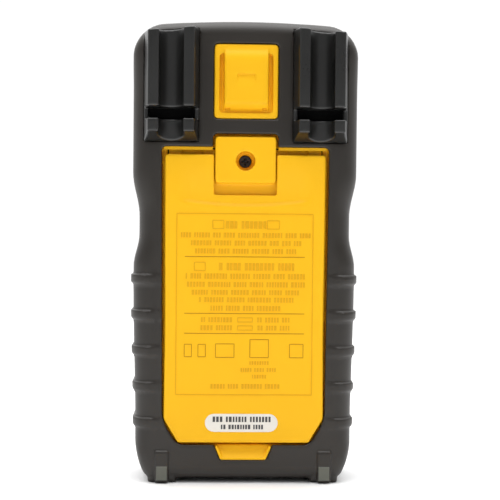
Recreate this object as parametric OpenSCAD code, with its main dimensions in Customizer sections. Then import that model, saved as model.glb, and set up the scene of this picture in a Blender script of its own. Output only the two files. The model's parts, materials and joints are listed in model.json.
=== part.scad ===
// Handheld digital multimeter, standing on its feet: the face looks along -Y,
// the back along +Y, and the origin is at the middle of its base.

/* [Body] */
// Height over the feet
body_h = 183; // [178:0.5:222]
// Width across the upper grip
body_w = 89.4; // [87:0.1:108]
// Depth from the face to the back, without the knob and the probe holders
body_d = 36; // [35.6:0.1:44]
// Depth of the front half of the case
front_d = 18; // [17.5:0.1:20]
// How far each side draws in at the waist
waist_draw = 2.7; // [0:0.1:3.4]
// How far each side draws in at the base
base_draw = 1.7; // [0:0.1:3]
// Thickness of the rubber overmould
skin = 2.5; // [1.6:0.1:2.8]
// Wall of the inner case
wall = 2; // [1.6:0.1:2.4]
// Radius of the long edges at the back
back_edge_r = 8; // [6:0.5:9]
// Radius of the long edges at the face
face_edge_r = 6; // [5:0.5:8]
// Radius of the edges across the top and the base
end_edge_r = 5; // [4.6:0.1:6]
// Radius of the upper corners, seen from the front
corner_r = 12; // [8:0.5:14]
// Fall of the crowned top from its middle to its corners
crown = 1.2; // [0.4:0.1:2]
// Height of the feet under the base
foot_h = 1.4; // [0.6:0.1:2]
// Width of each foot
foot_w = 11.3; // [6:0.1:14]
// Height of each grip rib
rib_w = 4; // [2:0.5:6]
// How far a grip rib stands out
rib_rise = 1; // [0.5:0.1:1.5]
// Number of grip ribs on each side
rib_count = 5; // [3:1:6]

/* [Window and door] */
// Width of the window in the overmould
window_w = 66; // [64:0.5:72]
// Height of the window's lower edge above the base
window_low = 15.3; // [14.5:0.1:18]
// Distance from the window's upper edge down from the top of the body
window_drop = 49.8; // [49.5:0.1:60]
// Gap round the battery door
door_gap = 0.35; // [0.2:0.05:0.6]
// Thickness of the battery door
door_t = 2; // [1.6:0.1:2.4]
// Depth of the door's face below the back
door_sink = 3.2; // [3:0.1:3.6]
// Width of the door's screw boss
boss_w = 23.9; // [18:0.1:25]
// Height of the door's screw boss
boss_h = 18.1; // [15:0.1:18.5]
// Radius of the boss's wide screw hole
boss_hole_r = 3.75; // [3.2:0.05:4.4]

/* [Tilt stand] */
// Thickness of the stand's plate
stand_t = 2.4; // [1.8:0.1:2.6]
// Side gap between the stand and the window
stand_gap = 1.3; // [0.8:0.1:2]
// Distance from the hinge axis up to the stand's upper edge
stand_overhang = 3.4; // [2.6:0.1:3.6]
// Angle the stand opens to
stand_open = 38; // [20:1:45]
// Radius of the hinge pins
hinge_pin_r = 0.9; // [0.7:0.05:1.1]
// Running clearance of the hinge pins
hinge_clearance = 0.05; // [0.02:0.01:0.09]
// Width of the serial label
label_w = 29; // [20:0.5:40]

/* [Probe holders] */
// How far the holders stand out from the back
holder_rise = 8.5; // [7.5:0.1:10]
// Distance of each holder's middle from the meter's middle
holder_x = 29.3; // [28:0.1:30]
// Radius of the probe channel
channel_r = 5.1; // [4.6:0.1:5.4]
// Height of the slot for the probe's finger guard
guard_slot = 4.6; // [4.2:0.1:5.4]

/* [Selector] */
// Radius of the knob's skirt
knob_r = 23.5; // [20:0.5:24.5]
// Height of the knob's axis above the base
knob_z = 72; // [70:0.5:78]
// How far the knob stands out from the face
knob_rise = 4.5; // [4:0.1:7]
// Radius of the knob's shaft
shaft_r = 4; // [3:0.1:5]
// Running clearance of the shaft
shaft_clearance = 0.08; // [0.03:0.01:0.1]
// Number of detent notches round the ring
detents = 24; // [12:2:30]
// Number of positions the knob turns through
positions = 11; // [5:1:13]

/* [Display and keys] */
// Width of the display lens
lens_w = 59; // [50:0.5:60]
// Height of the display lens
lens_h = 33; // [28:0.5:35]
// Number of keys in the row
key_count = 5; // [3:1:5]
// Width of each key
key_w = 10.4; // [8:0.1:11]
// Height of each key
key_h = 6.4; // [5:0.1:8]
// Gap round each key
key_gap = 0.25; // [0.15:0.05:0.4]

/* [Input jacks] */
// Radius of a jack's bore
jack_r = 2; // [1.9:0.05:2.1]
// Distance between neighbouring jacks
jack_pitch = 19.05; // [18:0.05:19.5]
// Height of the jacks above the base
jack_z = 19; // [18.5:0.1:19.5]
// Depth of a jack's bore
jack_depth = 16; // [12:0.5:17]

/* [Power] */
// Radius of a battery cell
cell_r = 7.1; // [6.9:0.05:7.15]
// Length of a battery cell
cell_l = 50.5; // [49:0.1:50.6]
// Radius of a fuse's end cap
fuse_r = 5.15; // [4:0.05:5.2]

/* [Hidden] */
$fn = 48;

yellow = "#fdc020";
charcoal = "#3a3937";
dark_plastic = "#2b2b2c";
brass = "#c9a34a";
steel = "#a9abad";

// Planes along Y
face_y = (knob_rise - body_d - holder_rise) / 2;
back_y = face_y + body_d;
split_y = face_y + front_d;
knob_top_y = face_y - knob_rise;
holder_top_y = back_y + holder_rise;
case_back_y = back_y - skin;
case_inner_y = case_back_y - wall;
face_t = 2.2;
face_inner_y = face_y + face_t;
overlay_t = 0.4;
pcb_t = 1.6;
pcb_front_y = face_y + 11.4;
pcb_back_y = pcb_front_y + pcb_t;

// The outline, half of it, from the base up
half_w = body_w / 2;
base_half = half_w - base_draw;
lower_draw = 0.5;
foot_out = base_half - 5.2;
foot_in = foot_out - foot_w;
foot_flare = 0.6;
base_chamfer_z = 10.2;
rib_low_z = 23.9;
rib_pitch = 14.2;
rib_high_z = rib_low_z + rib_pitch * (rib_count - 1);
waist_low_z = body_h * 0.536;
waist_high_z = body_h * 0.58;
waist_run_low = 12;
waist_run_high = 17;
outline_steps = 6;

// The window, the door and the ledge under it
window_half = window_w / 2;
window_top = body_h - window_drop;
window_taper = 0.9;
window_chamfer = [6, 9.4];
notch_half = boss_w / 2 + 0.9;
notch_top = window_top + 5.1;
boss_top = notch_top - 1.15;
boss_low = boss_top - boss_h;
boss_face_y = back_y + 0.3;
boss_wall = 1.8;
screw_z = boss_top - 9.45;
door_face_y = back_y - door_sink;
door_inner_y = door_face_y - door_t;
ledge_t = 2;
ledge_inner_y = door_inner_y - ledge_t;
pan_wall = 1.6;

// The door screw, from its head inwards
shoulder_y = boss_face_y - 5.5;
head_hole_r = 2.55;
head_r = 2.45;
head_t = 2;
head_top_y = shoulder_y - 1;
seat_y = head_top_y - head_t;
tube_r = 5;
tube_low_y = seat_y - 2;
screw_r = 1.5;
screw_travel = 5;
retainer_t = 0.6;
retainer_r = 2.6;
retainer_top_y = tube_low_y - screw_travel - 0.1;
insert_r = 2.6;
insert_top_y = retainer_top_y - retainer_t - 0.6;
insert_l = 4.3;
socket_r = tube_r + 0.5;
post_wall = 1.5;

// The stand and its hinge
stand_half = window_half - stand_gap;
stand_low = window_low + 0.9;
stand_face_y = back_y;
stand_inner_y = stand_face_y - stand_t;
stand_top = window_top - 3;
hinge_z = stand_top - stand_overhang;
hinge_y = back_y - 4.2;
lug_r = 1.9;
lug_clear = 0.4;
lug_x0 = 17;
lug_x1 = 24.6;
ear_t = 2;
stand_notch_half = boss_w / 2 + 0.45;
stand_notch_low = boss_low - 4.75;
heel_in = stand_notch_half - 0.9;
heel_out = window_half - 2.6;
heel_floor_y = hinge_y + (stand_inner_y - hinge_y) * cos(stand_open) - stand_overhang * sin(stand_open) - 0.3;
heel_low_y = min(heel_floor_y - 1.2, door_inner_y);
hinge_box_low = hinge_z - lug_r - 2;
hinge_box_y = hinge_y - lug_r - lug_clear - 1.2;
label_h = 7.3;
label_z = 24.2;
label_x = 0.8;
label_t = 0.2;

// The strap anchor at the top and the finger scoop at the bottom
anchor_half = 12.7;
anchor_low = body_h - 38.8;
anchor_top = body_h - 9.3;
anchor_block_half = 8.7;
anchor_rise = 1.4;
scoop_top_half = 11.6;
scoop_low_half = 9;
scoop_low = 9.3;

// The probe holders
channel_y = holder_top_y - 2.6;
holder_top_z = body_h - 4.5;
holder_low_z = body_h - 48;
holder_end_run = 3.4;
holder_wall = 4.7;
holder_half_top = sqrt(pow(channel_r, 2) - pow(holder_top_y - channel_y, 2)) + holder_wall;
holder_half_base = holder_half_top + 1.7;
holder_top_fall = 0.9;
guard_z = holder_low_z + 8.6;
holder_screw_r = 1.1;
holder_screw_z = [holder_top_z - 7, holder_top_z - 25];

// The selector
knob_recess = 1;
skirt_t = 2.5;
skirt_y = face_y + 0.7;
knob_gap = 0.8;
grip_half = 7;
rotor_y = face_inner_y + 0.4;
rotor_r = 19;
rotor_t = 1.8;
hub_r = 7;
contact_disc_r = 16;
contact_t = 0.4;
rotor_low_y = pcb_front_y - 2;
ball_r = 1.1;
ball_angles = [0, 180];
knob_rest = -(positions - 1) / 2 * 360 / detents;

// The display and the keys
display_z = body_h - 35;
bezel_w = 9;
bezel_h = 9;
bezel_rise = 0.8;
bezel_depth = 1.2;
key_z = display_z - (lens_h + bezel_h) / 2 - 13;
key_pitch = 13.2;
key_travel = 0.8;
key_rise = 1.3;
key_flange = 0.7;
flange_t = 0.8;
mat_y = face_inner_y + 3.1;
mat_t = 1;

// The jacks
cup_r = 7;
ring_w = 1.3;
cup_bore_r = 5.9;
cup_post_r = 4.1;
sleeve_r = 3.2;
cup_base_t = 1.8;
jack_mouth_y = face_y + 1.7;
jack_xs = [for (i = [-1.5:1:1.5]) i * jack_pitch];

// The battery bay, the fuses and the case screws
bay_clear = 0.4;
bay_wall = 1.6;
cell_pitch = 2 * cell_r + 1;
bay_half = cell_pitch / 2 + cell_r + bay_clear;
bay_low = 53.5;
bay_high = bay_low + cell_l + 6.5;
bay_floor_y = door_inner_y - 0.8 - 2 * cell_r - 0.2;
cell_y = bay_floor_y + cell_r + 0.2;
fuse_zs = [43.5, 30.5];
fuse_lengths = [38, 35];
fuse_y = pcb_back_y + 6.6;
fuse_bay_half = 22;
fuse_bay_low = 24.5;
fuse_bay_high = 49.7;
gasket_half = 24.6;
gasket_low = 21.6;
gasket_high = bay_high + 5.5;
gasket_w = 1.2;
gasket_t = 0.8;
case_screw_points = [for (sx = [-1, 1], p = [[28, 37.2], [29.2, 101.5]]) [sx * p[0], p[1]]];
case_post_r = 3.5;
case_head_r = 2.9;
case_head_t = 2;
post_meet_y = pcb_back_y + 0.6;
case_screw_l = 22;
rim_seal_in = skin + 0.6;
rim_seal_w = 0.8;
rim_seal_t = 1.2;

function smooth(t) = let (u = min(max(t, 0), 1)) u * u * (3 - 2 * u);
function mix(a, b, t) = a + (b - a) * t;
function arc(c, r, a0, a1, n = 6) =
    [for (i = [0:n]) let (a = mix(a0, a1, i / n)) [c[0] + r * cos(a), c[1] + r * sin(a)]];
function flip(points) = [for (i = [len(points) - 1:-1:0]) [-points[i][0], points[i][1]]];

// Half width of the body at a height
function half_width(z) =
    let (base_to_lower = mix(base_half, half_w - lower_draw,
            smooth((z - base_chamfer_z) / (rib_high_z - base_chamfer_z))))
    z < waist_low_z - waist_run_low ? base_to_lower :
    z < waist_low_z ? mix(half_w - lower_draw, half_w - waist_draw,
        smooth((z - waist_low_z + waist_run_low) / waist_run_low)) :
    z < waist_high_z ? half_w - waist_draw :
    mix(half_w - waist_draw, half_w, smooth((z - waist_high_z) / waist_run_high));

function side_heights() = concat(
    [for (i = [0:4]) mix(base_chamfer_z, waist_low_z - waist_run_low, i / 4)],
    [for (i = [1:outline_steps]) waist_low_z - waist_run_low * (1 - i / outline_steps)],
    [for (i = [0:outline_steps]) waist_high_z + waist_run_high * i / outline_steps]);

function half_outline() = concat(
    [[0, foot_h], [foot_in - foot_flare, foot_h], [foot_in, 0], [foot_out, 0]],
    [for (z = side_heights()) [half_width(z), z]],
    arc([half_w - corner_r, body_h - crown - corner_r], corner_r, 0, 84, 8),
    [for (i = [2:-1:1]) let (x = (half_w - corner_r) * i / 3)
        [x, body_h - crown * pow(x / (half_w - corner_r), 2)]],
    [[0, body_h]]);

module outline() polygon(concat(half_outline(), flip(half_outline())));
module inset_outline(d) offset(delta = -d) outline();

// Extrusions of a drawing along each axis
module along_y(y0, y1) translate([0, y1, 0]) rotate([90, 0, 0]) linear_extrude(y1 - y0) children();
module along_x(x0, x1) translate([x0, 0, 0]) rotate([90, 0, 90]) linear_extrude(x1 - x0) children();
module along_z(z0, z1) translate([0, 0, z0]) linear_extrude(z1 - z0) children();
module rod_y(p, y0, y1, r) translate([p[0], y0, p[1]]) rotate([-90, 0, 0]) cylinder(h = y1 - y0, r = r);
module rod_x(p, x0, x1, r) translate([x0, p[0], p[1]]) rotate([0, 90, 0]) cylinder(h = x1 - x0, r = r);
module box(lo, hi) translate(lo) cube(hi - lo);
module both_sides() for (s = [0, 1]) mirror([s, 0, 0]) children();

module round_rect(lo, hi, r) polygon(concat(
    arc([hi[0] - r, hi[1] - r], r, 0, 90), arc([lo[0] + r, hi[1] - r], r, 90, 180),
    arc([lo[0] + r, lo[1] + r], r, 180, 270), arc([hi[0] - r, lo[1] + r], r, 270, 360)));

// The body as a solid, drawn in by d on every side
module body_block(d) intersection() {
    along_y(face_y + d, back_y - d) inset_outline(d);
    along_z(-5, body_h + 5) body_plan(d);
    along_x(-body_w, body_w) body_side(d);
}
module body_plan(d) polygon(concat(
    arc([half_w - back_edge_r, back_y - back_edge_r], back_edge_r - d, 0, 90),
    arc([back_edge_r - half_w, back_y - back_edge_r], back_edge_r - d, 90, 180),
    arc([face_edge_r - half_w, face_y + face_edge_r], face_edge_r - d, 180, 270, 5),
    arc([half_w - face_edge_r, face_y + face_edge_r], face_edge_r - d, 270, 360, 5)));
module body_side(d) round_rect([face_y + d, d], [back_y - d, body_h - d], max(end_edge_r - d, 0.5));
module behind(y) box([-body_w, y, -5], [body_w, back_y + 20, body_h + 5]);
module before(y) box([-body_w, face_y - 20, -5], [body_w, y, body_h + 5]);

// Windows in the overmould
module window_shape() {
    r = 1.6;
    c = window_chamfer;
    points = concat(
        [[window_half - window_taper - c[0], window_low], [window_half - window_taper, window_low + c[1]]],
        arc([window_half - r, window_top - r], r, 0, 90, 3),
        [[notch_half, window_top]],
        arc([notch_half - r, notch_top - r], r, 0, 90, 3));
    polygon(concat(points, flip(points)));
}
module anchor_shape(gap = 0) round_rect([-anchor_half - gap, anchor_low - gap],
    [anchor_half + gap, anchor_top + gap], 1.4);
module scoop_shape() polygon([[-scoop_top_half, window_low + 0.1], [-scoop_low_half, scoop_low],
    [scoop_low_half, scoop_low], [scoop_top_half, window_low + 0.1]]);

module ribs(y_low, y_high) intersection() {
    body_block(-rib_rise);
    both_sides() for (i = [0:rib_count - 1])
        box([half_w - 9, y_low, rib_low_z + rib_pitch * i - rib_w / 2],
            [half_w + 5, y_high, rib_low_z + rib_pitch * i + rib_w / 2]);
}
module foot_strips() intersection() {
    body_block(-0.8);
    both_sides() box([foot_in + 3.1, back_y - 9, 0], [foot_in + 8.2, back_y + 2, 12.8]);
}

module front_overmould() color(charcoal) difference() {
    union() {
        intersection() { body_block(0); before(split_y); }
        ribs(face_y + 6, split_y);
    }
    intersection() { body_block(skin); before(split_y + 1); }
    along_y(face_y - 1, face_y + skin + 1) inset_outline(6.5);
    box([-body_w, split_y, -5], [body_w, split_y + 30, body_h + 5]);
}

// A holder's outline seen from the back, with the top falling towards the side
module holder_outline() polygon([[-holder_half_base, holder_low_z], [holder_half_base, holder_low_z],
    [holder_half_base, holder_top_z - holder_top_fall], [-holder_half_base, holder_top_z + holder_top_fall]]);
module holder_footprint() translate([holder_x, 0, 0]) along_y(case_back_y, back_y + 1) holder_outline();

module rear_overmould() color(charcoal) difference() {
    union() {
        intersection() { body_block(0); behind(split_y); }
        ribs(split_y, back_y - 3);
        foot_strips();
    }
    intersection() { body_block(skin); behind(split_y - 1); }
    along_y(case_back_y - 1, back_y + 5) { window_shape(); anchor_shape(); scoop_shape(); }
    both_sides() holder_footprint();
}

// The inner case
module rim_seal_shape() difference() {
    inset_outline(rim_seal_in);
    inset_outline(rim_seal_in + rim_seal_w);
}
module case_gasket() color("black")
    along_y(split_y - rim_seal_t / 2, split_y + rim_seal_t / 2) rim_seal_shape();

module display_shape(grow = 0) round_rect([-lens_w / 2 - grow, display_z - lens_h / 2 - grow],
    [lens_w / 2 + grow, display_z + lens_h / 2 + grow], 3);
module bezel_shape() round_rect([-(lens_w + bezel_w) / 2, display_z - (lens_h + bezel_h) / 2],
    [(lens_w + bezel_w) / 2, display_z + (lens_h + bezel_h) / 2], 5);
module key_shape(i, grow = 0) {
    x = (i - (key_count + 1) / 2) * key_pitch;
    round_rect([x - key_w / 2 - grow, key_z - key_h / 2 - grow],
        [x + key_w / 2 + grow, key_z + key_h / 2 + grow], max(2.4 + grow, 0.6));
}

module front_case() color(yellow) difference() {
    union() {
        intersection() { body_block(skin); before(split_y); }
        along_y(face_y, face_y + skin + 1) inset_outline(6.5);
    }
    difference() {
        union() {
            intersection() { body_block(skin + wall); before(split_y + 1); }
            along_y(face_inner_y, face_y + 7) inset_outline(6.5 + face_t);
        }
        for (p = case_screw_points) rod_y(p, face_inner_y - 1, post_meet_y, case_post_r);
    }
    for (p = case_screw_points) rod_y(p, seat_of_case_screw() - case_screw_l, post_meet_y + 1, screw_r);
    along_y(face_y - 1, face_y + bezel_depth) bezel_shape();
    along_y(face_y - 1, face_inner_y + 1) {
        display_shape(-1);
        for (i = [1:key_count]) key_shape(i, key_gap);
    }
    rod_y([0, knob_z], face_y - 1, face_y + knob_recess, knob_r + knob_gap);
    rod_y([0, knob_z], face_y - 1, face_inner_y + 1, shaft_r + shaft_clearance);
    for (x = jack_xs) rod_y([x, jack_z], face_y - 1, pcb_front_y, cup_r);
    along_y(split_y - rim_seal_t / 2, split_y + 1) rim_seal_shape();
}

module pan_shape() offset(delta = pan_wall) window_shape();
module bay_shape(grow = 0) square_shape([-bay_half - grow, bay_low - grow], [bay_half + grow, bay_high + grow]);
module square_shape(lo, hi) translate(lo) square(hi - lo);
function seat_of_case_screw() = door_inner_y - 0.2 - case_head_t;

module rear_shell() difference() {
    intersection() { body_block(skin); behind(split_y); }
    intersection() { body_block(skin + wall); behind(split_y - 1); }
    along_y(case_inner_y - 1, case_back_y + 1) window_shape();
    along_y(split_y - 1, split_y + rim_seal_t / 2) rim_seal_shape();
}
module ledge_pan() difference() {
    along_y(ledge_inner_y, case_back_y) pan_shape();
    along_y(door_inner_y, case_back_y + 1) window_shape();
    along_y(ledge_inner_y - 1, door_inner_y + 1) {
        bay_shape();
        square_shape([-fuse_bay_half, fuse_bay_low], [fuse_bay_half, fuse_bay_high]);
        for (s = [-1, 1]) translate([s * (lug_x0 + lug_x1) / 2, 0])
            square_shape([-(lug_x1 - lug_x0) / 2 - ear_t - 0.5, hinge_box_low - 0.4],
                [(lug_x1 - lug_x0) / 2 + ear_t + 0.5, window_top - 0.2]);
        both_sides() square_shape([heel_in - 0.4, hinge_z - 0.2], [heel_out + 0.4, window_top - 0.2]);
    }
    along_y(door_inner_y - gasket_t, door_inner_y + 1) gasket_shape();
}
module battery_bay() difference() {
    along_y(bay_floor_y - bay_wall, door_inner_y - gasket_t) bay_shape(bay_wall);
    along_y(bay_floor_y, door_inner_y + 1) bay_shape();
}
module fuse_bay_walls() difference() {
    along_y(pcb_back_y + 8.5, ledge_inner_y + 1)
        square_shape([-fuse_bay_half - bay_wall, fuse_bay_low - bay_wall],
            [fuse_bay_half + bay_wall, fuse_bay_high]);
    along_y(pcb_back_y + 8, door_inner_y + 1)
        square_shape([-fuse_bay_half, fuse_bay_low], [fuse_bay_half, fuse_bay_high]);
}
module strap_anchor() {
    rim = 2.1;
    block_top = anchor_top - 1.6;
    block_low = anchor_low + 2.8;
    floor_y = back_y - 1.4;
    block_y = back_y + anchor_rise;
    along_y(case_back_y - 0.5, floor_y) anchor_shape();
    difference() {
        along_y(floor_y - 0.5, back_y + 0.2) anchor_shape();
        along_y(floor_y, back_y + 1) round_rect([-anchor_half + rim, anchor_low + rim],
            [anchor_half - rim, block_top - 3.4], 1);
    }
    difference() {
        along_x(-anchor_block_half, anchor_block_half) polygon([
            [floor_y - 0.5, block_low], [floor_y, block_low], [block_y, block_low + 3.2],
            [block_y, block_top - 3], [back_y + 0.2, block_top], [floor_y - 0.5, block_top]]);
        detent_notch(block_y);
    }
}
module detent_notch(face) {
    mid = (anchor_low + anchor_top) / 2 + 1.6;
    along_x(-3.6, 3.6) polygon([[face + 1, mid + 2.2], [face - 0.8, mid + 2.2], [face + 0.01, mid - 2.2],
        [face + 1, mid - 2.2]]);
}
module finger_scoop() difference() {
    along_y(case_back_y - 0.5, back_y - 0.1) scoop_shape();
    intersection() {
        along_x(-20, 20) polygon([[back_y - 3.3, window_low + 2], [back_y - 3, window_low - 0.5],
            [back_y - 0.6, scoop_low + 1], [back_y + 1, scoop_low + 1], [back_y + 1, window_low + 2]]);
        along_y(case_back_y - 2, back_y + 1) offset(delta = -1.2) polygon([
            [-scoop_top_half - 1, window_low + 2], [-scoop_low_half, scoop_low],
            [scoop_low_half, scoop_low], [scoop_top_half + 1, window_low + 2]]);
    }
}
module rear_case() color(yellow) difference() {
    union() {
        rear_shell();
        ledge_pan();
        battery_bay();
        fuse_bay_walls();
        strap_anchor();
        finger_scoop();
        rod_y([0, screw_z], insert_top_y - insert_l - 1, ledge_inner_y + 0.5, socket_r + post_wall);
        for (p = case_screw_points) rod_y(p, post_meet_y, ledge_inner_y + 0.5, case_post_r);
    }
    rod_y([0, screw_z], tube_low_y - 0.3, door_inner_y + 1, socket_r);
    rod_y([0, screw_z], insert_top_y, tube_low_y, retainer_r + 0.4);
    rod_y([0, screw_z], insert_top_y - insert_l, insert_top_y + 0.5, insert_r);
    rod_y([0, screw_z], insert_top_y - insert_l - 2, insert_top_y, screw_r + 0.2);
    for (p = case_screw_points) {
        rod_y(p, post_meet_y - 1, door_inner_y + 1, screw_r + 0.2);
        rod_y(p, seat_of_case_screw(), door_inner_y + 1, case_head_r + 0.2);
    }
    for (s = [-1, 1], z = holder_screw_z)
        rod_y([s * holder_x, z], case_inner_y - 1, case_back_y + 1, holder_screw_r + 0.2);
}

module door_screw_insert() color(brass) difference() {
    rod_y([0, screw_z], insert_top_y - insert_l, insert_top_y, insert_r);
    rod_y([0, screw_z], insert_top_y - insert_l - 1, insert_top_y + 1, screw_r + 0.05);
}

module case_screws() color(steel) for (p = case_screw_points) difference() {
    union() {
        rod_y(p, seat_of_case_screw(), seat_of_case_screw() + case_head_t, case_head_r);
        rod_y(p, seat_of_case_screw() - case_screw_l, seat_of_case_screw() + 0.5, screw_r);
    }
    cross_recess(p, seat_of_case_screw() + case_head_t, 1.5);
}
module cross_recess(p, y, size) for (a = [0, 90]) translate([p[0], y, p[1]]) rotate([0, a, 0])
    translate([-size, -1.1, -0.3]) cube([2 * size, 2, 0.6]);

// Probe holders
module probe_holder() {
    hb = holder_half_base;
    ht = holder_half_top;
    difference() {
        intersection() {
            along_z(holder_low_z, holder_top_z + 3) polygon([[-hb, case_back_y], [hb, case_back_y], [hb, back_y],
                [ht, holder_top_y - 0.5], [ht - 0.5, holder_top_y], [0.5 - ht, holder_top_y],
                [-ht, holder_top_y - 0.5], [-hb, back_y]]);
            along_x(-hb - 1, hb + 1) polygon([[case_back_y, holder_low_z], [back_y, holder_low_z],
                [holder_top_y - 1, holder_low_z + holder_end_run], [holder_top_y, holder_low_z + holder_end_run],
                [holder_top_y, holder_top_z + 3], [case_back_y, holder_top_z + 3]]);
            along_y(case_back_y - 1, holder_top_y + 1) holder_outline();
        }
        translate([0, channel_y, holder_low_z - 1]) cylinder(h = holder_top_z - holder_low_z + 4, r = channel_r);
        box([-hb - 1, back_y + 0.4, guard_z], [hb + 1, holder_top_y + 1, guard_z + guard_slot]);
        box([-ht, back_y - 1.4, guard_z], [ht, back_y + 1, guard_z + guard_slot]);
        for (z = holder_screw_z) rod_y([0, z], case_back_y - 1, back_y - 0.2, holder_screw_r);
    }
}
module probe_holder_left() color(charcoal) mirror([1, 0, 0]) translate([holder_x, 0, 0]) probe_holder();
module probe_holder_right() color(charcoal) translate([holder_x, 0, 0]) probe_holder();
module probe_holder_screws() color(steel) for (s = [-1, 1], z = holder_screw_z) {
    rod_y([s * holder_x, z], case_inner_y - 1.4, case_inner_y, 2.1);
    rod_y([s * holder_x, z], case_inner_y - 0.5, back_y - 0.2, holder_screw_r);
}

// The battery door with its screw
module door_shape() offset(delta = -door_gap) window_shape();
module boss_shape(d = 0) round_rect([-boss_w / 2 + d, boss_low + d], [boss_w / 2 - d, boss_top - d], 1.2);
module lug_pocket(grow) box([lug_x0 - grow, hinge_y - lug_r - lug_clear, hinge_z - lug_r - 1.3],
    [lug_x1 + grow, back_y + 1, window_top]);
module battery_door() color(yellow) difference() {
    union() {
        along_y(door_inner_y, door_face_y) door_shape();
        along_y(door_inner_y, boss_face_y) boss_shape();
        rod_y([0, screw_z], tube_low_y, door_face_y, tube_r);
        both_sides() {
            box([lug_x0 - ear_t, hinge_box_y, hinge_box_low],
                [lug_x1 + ear_t, door_inner_y + 0.5, window_top - door_gap - 0.4]);
            box([heel_in, heel_low_y, hinge_z + 0.2],
                [heel_out, door_inner_y + 0.5, window_top - door_gap - 0.4]);
        }
    }
    difference() {
        along_y(door_inner_y - 1, boss_face_y - boss_wall) boss_shape(boss_wall);
        rod_y([0, screw_z], tube_low_y - 1, boss_face_y, tube_r);
        along_y(door_inner_y - 2, door_face_y) square_shape([-boss_w, boss_low - 5], [boss_w, boss_low + 3]);
    }
    rod_y([0, screw_z], shoulder_y, boss_face_y + 1, boss_hole_r);
    rod_y([0, screw_z], seat_y, shoulder_y + 1, head_hole_r);
    rod_y([0, screw_z], tube_low_y - 1, seat_y + 1, screw_r + 0.25);
    both_sides() {
        lug_pocket(0.3);
        box([stand_notch_half - 0.4, heel_floor_y, hinge_z + 1.2],
            [window_half + 1, back_y + 1, window_top]);
        rod_x([hinge_y, hinge_z], lug_x0 - ear_t - 1, lug_x1 + ear_t + 1, hinge_pin_r);
    }
}
module gasket_shape() difference() {
    square_shape([-gasket_half, gasket_low], [gasket_half, gasket_high]);
    square_shape([-gasket_half + gasket_w, gasket_low + gasket_w], [gasket_half - gasket_w, gasket_high - gasket_w]);
}
module battery_door_gasket() color("#1c1c1c")
    along_y(door_inner_y - gasket_t, door_inner_y) gasket_shape();
module battery_door_screw() color("#1e1e20") difference() {
    union() {
        rod_y([0, screw_z], seat_y, head_top_y, head_r);
        rod_y([0, screw_z], insert_top_y - insert_l + 0.1, seat_y + 0.5, screw_r);
    }
    cross_recess([0, screw_z], head_top_y, 1.4);
}
module door_screw_retainer() color("black") difference() {
    rod_y([0, screw_z], retainer_top_y - retainer_t, retainer_top_y, retainer_r);
    rod_y([0, screw_z], retainer_top_y - 2, retainer_top_y + 1, screw_r);
}

// The tilt stand
module stand_shape() {
    r = 1;
    c = window_chamfer;
    lower = stand_half - 0.1;
    points = concat(
        [[lower - c[0] + 0.3, stand_low], [lower, stand_low + c[1]],
            [stand_half - 0.4, mix(stand_low, stand_top, 0.4)]],
        arc([stand_half - r, stand_top - r], r, 0, 90, 3),
        [[stand_notch_half, stand_top], [stand_notch_half, stand_notch_low]]);
    polygon(concat(points, flip(points)));
}
module tilt_stand() color(yellow) difference() {
    union() {
        along_y(stand_inner_y, stand_face_y) stand_shape();
        both_sides() {
            rod_x([hinge_y, hinge_z], lug_x0, lug_x1, lug_r);
            box([lug_x0, hinge_y, hinge_z - lug_r], [lug_x1, stand_inner_y + 0.5, hinge_z + lug_r]);
        }
        both_sides() box([stand_half - 4, stand_inner_y - 0.6, stand_low + 14],
            [stand_half - 2.8, stand_inner_y + 0.5, hinge_box_low - 2]);
    }
    both_sides() rod_x([hinge_y, hinge_z], lug_x0 - 1, lug_x1 + 1, hinge_pin_r + hinge_clearance);
}
module stand_hinge_pins() color(steel) both_sides()
    rod_x([hinge_y, hinge_z], lug_x0 - ear_t, lug_x1 + ear_t, hinge_pin_r);
module serial_label() color("white") along_y(stand_face_y, stand_face_y + label_t)
    round_rect([label_x - label_w / 2, label_z - label_h / 2], [label_x + label_w / 2, label_z + label_h / 2],
        label_h / 2);

// The display
module display_bezel() color(dark_plastic) difference() {
    along_y(face_y - bezel_rise, face_y + bezel_depth) bezel_shape();
    along_y(face_y - 2, face_y + 2) display_shape();
}
module display_lens() color([0.8, 0.85, 0.85, 0.35])
    along_y(face_y - 0.2, face_y + bezel_depth) display_shape(-0.1);
lcd_y = face_inner_y + 0.6;
lcd_t = 2.2;
module lcd_panel() color("#9aa58c") along_y(lcd_y, lcd_y + lcd_t) square_shape(
    [-lens_w / 2, display_z - lens_h / 2 - 0.5], [lens_w / 2, display_z + lens_h / 2 + 0.5]);
module lcd_frame() color("#dcdcd6") difference() {
    along_y(lcd_y - 0.3, pcb_front_y) square_shape([-lens_w / 2 - 1.6, display_z - lens_h / 2 - 2.1],
        [lens_w / 2 + 1.6, display_z + lens_h / 2 + 2.1]);
    along_y(lcd_y - 1, pcb_front_y + 1) square_shape([-lens_w / 2 - 0.1, display_z - lens_h / 2 - 0.6],
        [lens_w / 2 + 0.1, display_z + lens_h / 2 + 0.6]);
}
module backlight_panel() color("white") along_y(lcd_y + lcd_t + 0.2, lcd_y + lcd_t + 2.6)
    square_shape([-lens_w / 2 + 1, display_z - lens_h / 2 + 3], [lens_w / 2 - 1, display_z + lens_h / 2 - 3]);
module zebra_strips() color("#8f8fa0") for (s = [-1, 1])
    box([-lens_w / 2 + 4, lcd_y + lcd_t, display_z + s * (lens_h / 2 - 1.2) - 1],
        [lens_w / 2 - 4, pcb_front_y, display_z + s * (lens_h / 2 - 1.2) + 1]);

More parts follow.
